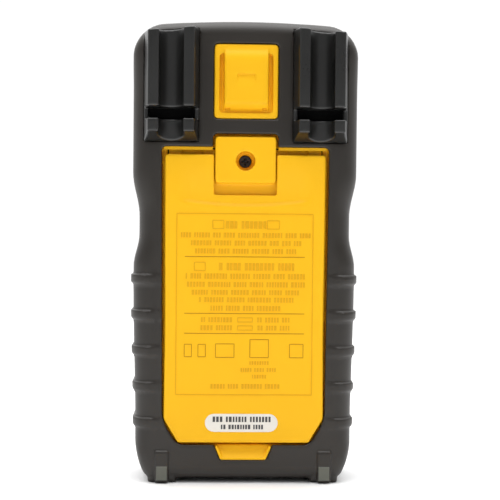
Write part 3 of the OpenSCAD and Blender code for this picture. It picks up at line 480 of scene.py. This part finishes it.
YELLOW = (0.93, 0.50, 0.010)
LOOKS = {
    "yellow_abs": dict(color=YELLOW, rough=0.42, grain=2600, bump=0.25, depth=0.00002, tint=0.02,
                       specular=0.17),
    "overmould": dict(color=(0.0158, 0.0122, 0.0088), rough=0.42, grain=2200, bump=0.35, depth=0.00004,
                      tint=0.10, specular=0.5),
    "holder_plastic": dict(color=(0.0080, 0.0080, 0.0074), rough=0.32, grain=2400, bump=0.3, depth=0.00003,
                           tint=0.08, specular=0.7),
    "seal": dict(color=(0.02, 0.02, 0.02), rough=0.6),
    "silicone_mat": dict(color=(0.25, 0.27, 0.29), rough=0.55),
    "screw_steel": dict(color=(0.62, 0.62, 0.63), rough=0.32, metal=1.0, brushed=(1, 8, 1), bump=0.1),
    "screw_black": dict(color=(0.035, 0.035, 0.04), rough=0.35, metal=0.6, bump=0.1),
    "brass": dict(color=(0.80, 0.58, 0.24), rough=0.24, metal=1.0, brushed=(1, 10, 1), bump=0.1),
    "pin_steel": dict(color=(0.66, 0.66, 0.68), rough=0.22, metal=1.0, brushed=(8, 1, 8), bump=0.1),
    "spring_steel": dict(color=(0.55, 0.55, 0.56), rough=0.28, metal=1.0, bump=0.08),
    "tin_plate": dict(color=(0.68, 0.68, 0.66), rough=0.35, metal=1.0, brushed=(1, 1, 9), bump=0.1),
    "label": dict(color=(0.80, 0.77, 0.71), rough=0.45, grain=3000, bump=0.05, tint=0.02),
    "bezel_plastic": dict(color=(0.018, 0.018, 0.020), rough=0.16, bump=0.03, coat=0.3),
    "lens": dict(color=(0.85, 0.9, 0.9), rough=0.05, vary=0.02, bump=0.0, alpha=0.28),
    "lcd": dict(color=(0.30, 0.35, 0.26), rough=0.3, bump=0.02, tint=0.03),
    "white_plastic": dict(color=(0.8, 0.8, 0.77), rough=0.45),
    "zebra": dict(color=(0.30, 0.28, 0.32), rough=0.6, brushed=(14, 1, 1)),
    "overlay": dict(color=(0.030, 0.030, 0.032), rough=0.48, grain=3000, bump=0.3, depth=0.00002, tint=0.08),
    "ring_red": dict(color=(0.52, 0.014, 0.012), rough=0.38),
    "ring_grey": dict(color=(0.16, 0.16, 0.17), rough=0.4),
    "jack_plastic": dict(color=(0.022, 0.022, 0.023), rough=0.38),
    "knob_plastic": dict(color=(0.035, 0.035, 0.037), rough=0.36, grain=2600, bump=0.3, depth=0.00003,
                         tint=0.08),
    "pointer_white": dict(color=(0.82, 0.82, 0.8), rough=0.4),
    "acetal": dict(color=(0.76, 0.74, 0.66), rough=0.4),
    "board": dict(color=(0.018, 0.14, 0.05), rough=0.25, grain=900, bump=0.1, coat=0.4),
    "chip": dict(color=(0.022, 0.022, 0.024), rough=0.5),
    "capacitor": dict(color=(0.03, 0.07, 0.28), rough=0.25),
    "fuse_ceramic": dict(color=(0.78, 0.74, 0.64), rough=0.3, coat=0.2),
    "cell_jacket": dict(color=(0.05, 0.05, 0.055), rough=0.22, coat=0.4, tint=0.1),
    "key_rubber": dict(color=(0.085, 0.085, 0.088), rough=0.5, grain=2600, bump=0.3, depth=0.00003),
}
MATERIALS = {s: shader(s, **LOOKS[s]) for s in LOOKS}
# A darker copy of the stand's yellow for the raised strokes: painted shade
RELIEF_SHADED = shader("yellow_relief_shaded", (0.74, 0.38, 0.008), 0.45, grain=2600, bump=0.2, tint=0.03, specular=0.17)
# Dark brownish yellow: painted shade for the stand's engraved rule lines and mark outlines
RULE_SHADE = shader("yellow_rules_painted_shade", (0.46, 0.22, 0.006), 0.5, grain=2600, bump=0.2, tint=0.03, specular=0.17)
# Paler greenish grey rubber: a painted reflection of the floor on the foot strips
FLOOR_SHEEN = shader("pad_painted_sheen", (0.10, 0.105, 0.085), 0.35, grain=2000, bump=0.3, tint=0.2)
# Near-black matte for painted shade on the floor of the probe holders' guard slots
SLOT_SHADE = shader("slot_painted_shade", (0.003, 0.003, 0.003), 0.9, bump=0.0, specular=0.05)
PRINT_DARK = shader("print_dark", (0.05, 0.05, 0.055), 0.5, tint=0.1)
PRINT_LIGHT = shader("print_light", (0.72, 0.72, 0.70), 0.5, tint=0.04)
PRINT_YELLOW = shader("print_yellow", (0.85, 0.42, 0.02), 0.5, tint=0.04)

for row in RECORD["subparts"]:
    data = frame["nodes"][row["node"]].data
    data.materials.clear()
    data.materials.append(MATERIALS[row["material_slot"]])

# ---------------------------------------------------------------- the rubber
LOW, HIGH = (-46.5, FACE - 1.4, -0.3), (46.5, BACK + 1.2, HEIGHT + 0.3)
rear = from_field(rear_rubber, (LOW[0], SPLIT, LOW[2]), HIGH, 0.5, 0.05)
place(build("rear_rubber", rear, MATERIALS["overmould"]), "meter", ["rear_overmould"])
front = from_field(front_rubber, LOW, (HIGH[0], SPLIT, HIGH[2]), 0.5, 0.05)
place(build("front_rubber", front, MATERIALS["overmould"]), "meter", ["front_overmould"])

# ---------------------------------------------------------------- yellow mouldings and holders


def strap_anchor(x, y, z):
    """The plate under the top edge: a block with ramps above and below it, in a sunk well."""
    ax = np.abs(x)
    plate_y, block_y = BACK - 0.25, BACK + 1.4
    block_low, block_top = ANCHOR["low"] + 5.9, ANCHOR["top"] - 4.8
    plate = cut_round(rect(x, z, -ANCHOR["half"] + 0.1, ANCHOR["half"] - 0.1, ANCHOR["low"] + 0.1,
                           ANCHOR["top"] - 0.1, 1.6), y - plate_y, 0.7)
    floor_y = plate_y - 1.6 - 0.8 * smooth((z - block_low - 1) / 9)
    well = rect(x, z, -10.5, 10.5, ANCHOR["low"] + 2.4, block_top + 0.9, 1.6)
    well = cut_round(well, floor_y - y, 0.25)
    plate = cut_round(plate, -well, 0.25)
    side = ax - 8.55 - 0.12 * (block_y - y)
    block = cut_round(side, y - block_y, 0.55)
    block = cut_round(block, slant(y, z, (block_y, block_top), (plate_y - 0.1, block_top + 2.9)), 0.7)
    block = cut_round(block, slant(y, z, (plate_y - 1.5, block_low - 2.6), (block_y, block_low)), 0.35)
    whole = join_round(plate, block, 0.35)
    bite = rect(x, z, -3.5, 3.5, block_low + 8, block_low + 11.6, 0.4)
    bite = np.maximum(bite, block_y - 0.7 * (z - block_low - 7.6) / 4 - y)
    whole = np.maximum(whole, -bite)
    for sx in (-1, 1):
        nick = rect(x - sx * 7.4, z, -1.0, 1.0, block_low - 2.3, block_low - 1.5, 0.3)
        nick = np.maximum(nick, plate_y - 1.7 - y)
        whole = np.maximum(whole, -nick)
    return np.maximum(whole, BACK - 3.5 - y)


def rear_extra(values, x, y, z):
    """Swaps the CAD's plain anchor for the one above."""
    cleared = np.maximum(np.maximum(np.abs(x) - 13.4, np.abs(z - (ANCHOR["low"] + ANCHOR["top"]) / 2) - 15.4),
                         BACK - 2.4 - y)
    return np.minimum(np.maximum(values, -cleared), strap_anchor(x, y, z))


place(build("rear_shell", from_cad("rear_case", 0.32, 0.4, change=rear_extra, flatten=0.06),
            MATERIALS["yellow_abs"]),
      "meter", ["rear_case"])
place(build("front_shell", from_cad("front_case", 0.4, 0.4), MATERIALS["yellow_abs"]),
      "meter", ["front_case"])
place(build("door_moulding", from_cad("battery_door", 0.25, 0.35, 0.25), MATERIALS["yellow_abs"]),
      "door", ["battery_door"])


def stand_face(values, x, y, z):
    """The shallow dish below the notch, ending in a curved step."""
    step = 109.2 + 1.7 * (x / 23) ** 2
    dish = 1.1 * smooth((z - step) / 2.2) * smooth((27.5 - np.abs(x)) / 7) * smooth((127 - z) / 14)
    return np.maximum(values, (y - (BACK - dish)) * 0.97)


place(build("stand_moulding", from_cad("tilt_stand", 0.3, 0.5, 0.3, stand_face), MATERIALS["yellow_abs"]),
      "stand", ["tilt_stand"])
for side in ("left", "right"):
    node = f"probe_holder_{side}"
    place(build(f"holder_{side}", from_cad(node, 0.22, 0.35, 0.2), MATERIALS["holder_plastic"]),
          "meter", [node])

# A black sheet in each holder's guard slot: painted shade standing in for the depth of the slot
SLOT_HALF, SLOT_LOW, SLOT_HIGH = 9.0, 8.7, 13.1
slot_shade_bars = Bars(BACK - 1.35, 0.12)
for sx in (-1, 1):
    mid = sx * (HOLDER_LOW[0] + HOLDER_HIGH[0]) / 2
    slot_shade_bars.bar(mid - SLOT_HALF, mid + SLOT_HALF, HOLDER_LOW[2] + SLOT_LOW, HOLDER_LOW[2] + SLOT_HIGH)
place(slot_shade_bars.made("guard_slot_painted_shade", SLOT_SHADE), "meter")

# The case's own edge over the stand's hinge, which hides the pocket behind it
lip = Bars(BACK - 1.8, 0.1)
for x0, x1 in ((-32.4, -13.0), (13.0, 32.4)):
    lip.bar(x0, x1, WINDOW["top"] - 1.25, WINDOW["top"] - 0.05)
place(lip.made("hinge_lip", MATERIALS["yellow_abs"]), "meter")

# Paler rubber on the lower half of the foot strips: a painted reflection of the white floor on their downward
# bevel
PAD_HALF, PAD_LOW, PAD_HIGH = 2.2, 1.4, 7.0
sheen_pads = Bars(BACK + STRIP_RISE, 0.12, 0.3)
for sx in (-1, 1):
    mid = sx * (FOOT_IN + 5.65)
    sheen_pads.bar(mid - PAD_HALF, mid + PAD_HALF, PAD_LOW, PAD_HIGH)
place(sheen_pads.made("foot_painted_sheen", FLOOR_SHEEN), "meter")

# Raised text block on the stand, with strokes in place of words and blank tiles in place of marks.
rng = random.Random(41)
relief = Bars(BACK, 0.14)
relief.frame(-27, 27, 35.2, 107, 0.28)
# Rule lines and mark outlines are low raised bars in a dark colour: painted shade in place of engraved
# grooves
rules = Bars(BACK, 0.1)
for z in (89.9, 67.5, 59.6):
    rules.bar(-23.8, 23.7, z - 0.14, z + 0.14)
# Rows of strokes: x from, x to, z from, z to, stroke width
ROWS = [(-8.3, 7.7, 101.0, 104.0, 1.5), (-26, 25.7, 97.4, 99.4, 1.0), (-22.3, 21.3, 94.3, 96.3, 1.0),
        (-20.3, 19.8, 91.1, 93.1, 1.0), (-19.6, 11.2, 84.5, 87.5, 1.4), (-23.8, 23.7, 81.1, 83.3, 1.0),
        (-23.8, 23.2, 77.9, 80.0, 1.0), (-21.6, 21, 74.8, 76.8, 1.0), (-19.4, 18.3, 71.9, 73.9, 1.0),
        (-14.2, 14.4, 68.5, 70.6, 1.0), (4.8, 17.3, 64.0, 66.0, 1.0), (-17.9, -4.3, 64.0, 66.0, 1.0),
        (4.8, 17.3, 60.8, 62.8, 1.0), (-17.9, -4.3, 60.8, 62.8, 1.0), (-9.8, -1.9, 47.2, 48.7, 0.8),
        (-12.7, 1.3, 44.4, 46.0, 0.8), (-8.8, -2.9, 41.8, 43.3, 0.8), (-14.2, 14.4, 37.7, 39.6, 1.0)]
for x0, x1, z0, z1, letter in ROWS:
    relief.words(rng, x0, x1, z0, z1, letter)
# The first five tiles stand in the text rows, and the rest in the row of marks
TILES = [(8.2, 12.9, 100.8, 104.4), (-13.7, -8.6, 100.8, 104.4), (15.4, 20, 84.2, 87.8), (-3.4, 2.8, 64, 66),
         (-3.4, 2.8, 60.8, 62.8), (20.6, 23.7, 50.2, 55.4), (15.1, 18.3, 50.2, 55.4), (3.8, 11.4, 50, 55.6),
         (-9.8, -2.2, 50, 57.4), (-23.5, -17.9, 50, 55.6)]
for tile in TILES[5:]:
    rules.frame(*tile, 0.26)
for tile in TILES[:5]:
    relief.frame(*tile, 0.34)
place(relief.made("stand_relief", RELIEF_SHADED), "stand")
place(rules.made("stand_rules_painted_shade", RULE_SHADE), "stand")

# The pill-shaped label
label_low, label_high = mm_box("serial_label")
place(build("label_film", from_cad("serial_label", 0.12, 0.06, 0.0, flatten=0.05), MATERIALS["label"]),
      "stand", ["serial_label"])
mid_x, mid_z = (label_low[0] + label_high[0]) / 2, (label_low[2] + label_high[2]) / 2
print_rows = Bars(label_high[1], 0.02, 0.02)
print_rows.words(rng, mid_x - 11.6, mid_x + 11.6, mid_z + 0.35, mid_z + 2.5, 1.1, 0.42)
print_rows.words(rng, mid_x - 8.6, mid_x + 8.6, mid_z - 2.5, mid_z - 0.7, 0.9, 0.36)
place(print_rows.made("label_print", PRINT_DARK), "stand")

# The door screw and small trim
for node, body_name, slot_name, r in (
    ("battery_door_screw", "door_screw", "screw_black", 0.12),
    ("display_bezel", "meter", "bezel_plastic", 0.4),
    ("jack_block", "meter", "jack_plastic", 0.3),
    ("jack_rings_red", "meter", "ring_red", 0.2),
    ("jack_rings_black", "meter", "ring_grey", 0.2),
):
    voxel = 0.12 if r < 0.15 else 0.2
    place(build(node + "_finished", from_cad(node, voxel, r), MATERIALS[slot_name]),
          body_name, [node])


# ---------------------------------------------------------------- the knob
REST = math.radians(-75)  # the pointer's angle from upright at the first position
KNOB_SEAT = FACE + 0.7


def knob(x, y, z):
    """A rippled skirt with a waisted grip bar across it, and a stub of shaft behind."""
    u, v = x, z - KNOB_Z
    r = np.hypot(u, v)
    angle = np.arctan2(u, v)
    along = v * math.cos(REST) + u * math.sin(REST)
    across = u * math.cos(REST) - v * math.sin(REST)
    ripple = 0.28 * np.cos(angle * 48) * smooth((r - KNOB_R + 2.4) / 2)
    skirt = cut_round(r - KNOB_R + 0.3 + ripple, np.abs(y - (KNOB_SEAT - 1.25)) - 1.25, 0.7)
    crest = KNOB_LOW[1] + 0.9 * smooth((np.abs(along) - 8) / 16)
    waist = 6.9 - 1.7 * (1 - smooth(np.abs(along) / 17)) + 0.28 * (y - KNOB_LOW[1])
    bar = cut_round(np.abs(across) - waist, r - KNOB_R + 1.3, 2.5)
    bar = cut_round(bar, crest - y, 1.4)
    bar = np.maximum(bar, y - KNOB_SEAT)
    shaft = np.maximum(r - 4.0, np.maximum(KNOB_SEAT - 1 - y, y - KNOB_HIGH[1]))
    whole = np.minimum(join_round(skirt, bar, 1.1), shaft)
    slot_cut = rect(across, along, -0.9, 0.9, 8, 30, 0.3)
    return np.maximum(whole, -np.maximum(slot_cut, y - KNOB_LOW[1] - 1.0))


place(build("knob_moulding", from_field(knob, KNOB_LOW, KNOB_HIGH, 0.25, 0.03), MATERIALS["knob_plastic"]),
      "knob", ["rotary_knob"])

# ---------------------------------------------------------------- keys with pillow tops
KEYS = [n for n in sorted(frame["nodes"]) if n.startswith("key_")]
for node in KEYS:
    low, high = mm_box(node)
    cx, cz = (low[0] + high[0]) / 2, (low[2] + high[2]) / 2

    def pillow(values, x, y, z, cx=cx, cz=cz, low=low):
        dome = low[1] + 0.55 * (((x - cx) / 5.2) ** 2 + ((z - cz) / 3.2) ** 2) * 0.5
        return np.maximum(values, (dome - y) * 0.9)

    place(build(node + "_cap", from_cad(node, 0.16, 0.35, 0.0, pillow), MATERIALS["key_rubber"]),
          node, [node])
    mark = Bars(low[1] + 0.03, -0.05, 0.02)
    mark.bar(cx - 1.9, cx + 1.9, cz - 0.3, cz + 0.3)
    ink = PRINT_YELLOW if node == KEYS[0] else PRINT_LIGHT
    place(mark.made(node + "_mark", ink), node)

# ---------------------------------------------------------------- print on the face
face_low = mm_box("face_overlay")[0][1]
print_face = Bars(face_low, -0.03, 0.01)
print_accent = Bars(face_low, -0.03, 0.01)
for i in range(11):
    a = REST + math.radians(15 * i)
    ring = [(math.sin(a) * r, KNOB_Z + math.cos(a) * r) for r in (KNOB_R + 1.6, KNOB_R + 3.4)]
    print_face.line(ring[0], ring[1], 0.7)
    tx, tz = math.sin(a) * (KNOB_R + 6.2), KNOB_Z + math.cos(a) * (KNOB_R + 6.2)
    target = print_accent if i in (3, 6, 9) else print_face
    if i == 0:
        target.frame(tx - 1.9, tx + 1.9, tz - 1.1, tz + 1.1, 0.35)
    else:
        target.bar(tx - 1.5, tx + 1.5, tz - 0.2, tz + 0.9)
        target.bar(tx - 1.0, tx + 1.0, tz - 1.1, tz - 0.6)
jack_nodes = [n for n in sorted(frame["nodes"]) if n.startswith("input_jack_")]
for i, node in enumerate(jack_nodes):
    low, high = mm_box(node)
    cx, top = (low[0] + high[0]) / 2, (low[2] + high[2]) / 2 + 10.4
    (print_accent if i in (0, 3) else print_face).bar(cx - 2.4, cx + 2.4, top, top + 1.3)
print_face.line((mm_box(jack_nodes[0])[0][0] + 3.2, 34.2), (mm_box(jack_nodes[3])[1][0] - 3.2, 34.2), 0.45)
place(print_face.made("face_print", PRINT_LIGHT), "meter")
place(print_accent.made("face_print_accent", PRINT_YELLOW), "meter")

# Blank seven-segment outlines, switched off, on the display glass
lcd_low, lcd_high = mm_box("lcd_panel")
ghost = shader("lcd_ghost", (0.24, 0.28, 0.20), 0.35, bump=0.0, tint=0.02)
digits = Bars(lcd_low[1], -0.02, 0.01)
for k in range(4):
    cx, cz = -16.5 + 11 * k, (lcd_low[2] + lcd_high[2]) / 2
    for z in (-7.2, 0, 7.2):
        digits.bar(cx - 2.7, cx + 2.7, cz + z - 0.55, cz + z + 0.55)
    for sx in (-1, 1):
        for z0, z1 in ((-6.4, -0.8), (0.8, 6.4)):
            digits.bar(cx + sx * 3.5 - 0.55, cx + sx * 3.5 + 0.55, cz + z0, cz + z1)
place(digits.made("display_segments", ghost), "meter")


# ---------------------------------------------------------------- stage
MID = Vector((0, 0, HEIGHT * 0.0005))


def area(name, at, size, power):
    """A soft rectangular light that points at the middle of the object."""
    light = bpy.data.lights.new(name, "AREA")
    light.shape = "RECTANGLE"
    light.size, light.size_y = size
    light.energy = power
    obj = bpy.data.objects.new(name, light)
    bpy.context.scene.collection.objects.link(obj)
    obj.location = at
    obj.rotation_euler = (MID - Vector(at)).to_track_quat("-Z", "Y").to_euler()


world = bpy.data.worlds.new("studio")
bpy.context.scene.world = world
world.use_nodes = True
sky_nodes, sky_links = world.node_tree.nodes, world.node_tree.links
split_sky = sky_nodes.new("ShaderNodeSeparateXYZ")
sky_links.new(sky_nodes.new("ShaderNodeTexCoord").outputs["Generated"], split_sky.inputs["Vector"])


def ramp(source, from_min, from_max, to_max, to_min=0.0):
    """A smooth step of one direction of the sky."""
    node = sky_nodes.new("ShaderNodeMapRange")
    node.interpolation_type = "SMOOTHSTEP"
    node.inputs["From Min"].default_value = from_min
    node.inputs["From Max"].default_value = from_max
    node.inputs["To Min"].default_value = to_min
    node.inputs["To Max"].default_value = to_max
    sky_links.new(source, node.inputs["Value"])
    return node.outputs["Result"]


# A white room: brightest overhead and behind the object, dimmer where the camera stands
total = sky_nodes.new("ShaderNodeMath")
total.operation = "ADD"
sky_links.new(ramp(split_sky.outputs["Y"], -0.7, 0.7, 0.24, 1.04), total.inputs[0])
sky_links.new(ramp(split_sky.outputs["Z"], 0.2, 1.0, 0.8), total.inputs[1])
sky_links.new(total.outputs["Value"], world.node_tree.nodes["Background"].inputs["Strength"])
world.node_tree.nodes["Background"].inputs["Color"].default_value = (1, 1, 1, 1)

floor_mesh = bpy.data.meshes.new("floor")
REACH = 6.0
floor_mesh.from_pydata([(-REACH, -REACH, 0), (REACH, -REACH, 0), (REACH, REACH, 0), (-REACH, REACH, 0)],
                       [], [[0, 1, 2, 3]])
paper = shader("floor_paper", (0.95, 0.95, 0.95), 0.8, bump=0.0, tint=0.005, specular=0.1)
floor_mesh.materials.append(paper)
floor = bpy.data.objects.new("floor", floor_mesh)
bpy.context.scene.collection.objects.link(floor)

area("left_light", (0.35, 0.45, 0.85), (0.5, 0.5), 0.8)
area("right_light", (-0.35, 0.45, 0.80), (0.5, 0.5), 0.45)
area("top_light", (0.0, 0.02, 0.72), (0.9, 0.5), 3.9)
area("front_light", (0.3, -0.8, 0.6), (0.6, 0.6), 0.8)

camera_data = bpy.data.cameras.new("camera")
camera = bpy.data.objects.new("camera", camera_data)
bpy.context.scene.collection.objects.link(camera)
bpy.context.scene.camera = camera
camera_data.sensor_width = 36
camera_data.lens = 88.45
camera_data.clip_start = 0.01
camera.location = Vector((0.0151, 0.5, 0.1042))
aim = Vector((-0.00237, 0.006, 0.0924))
camera.rotation_euler = (aim - camera.location).to_track_quat("-Z", "Y").to_euler()
camera.rotation_euler.rotate_axis("Z", math.radians(0.54))
bpy.context.scene.view_settings.view_transform = "Standard"
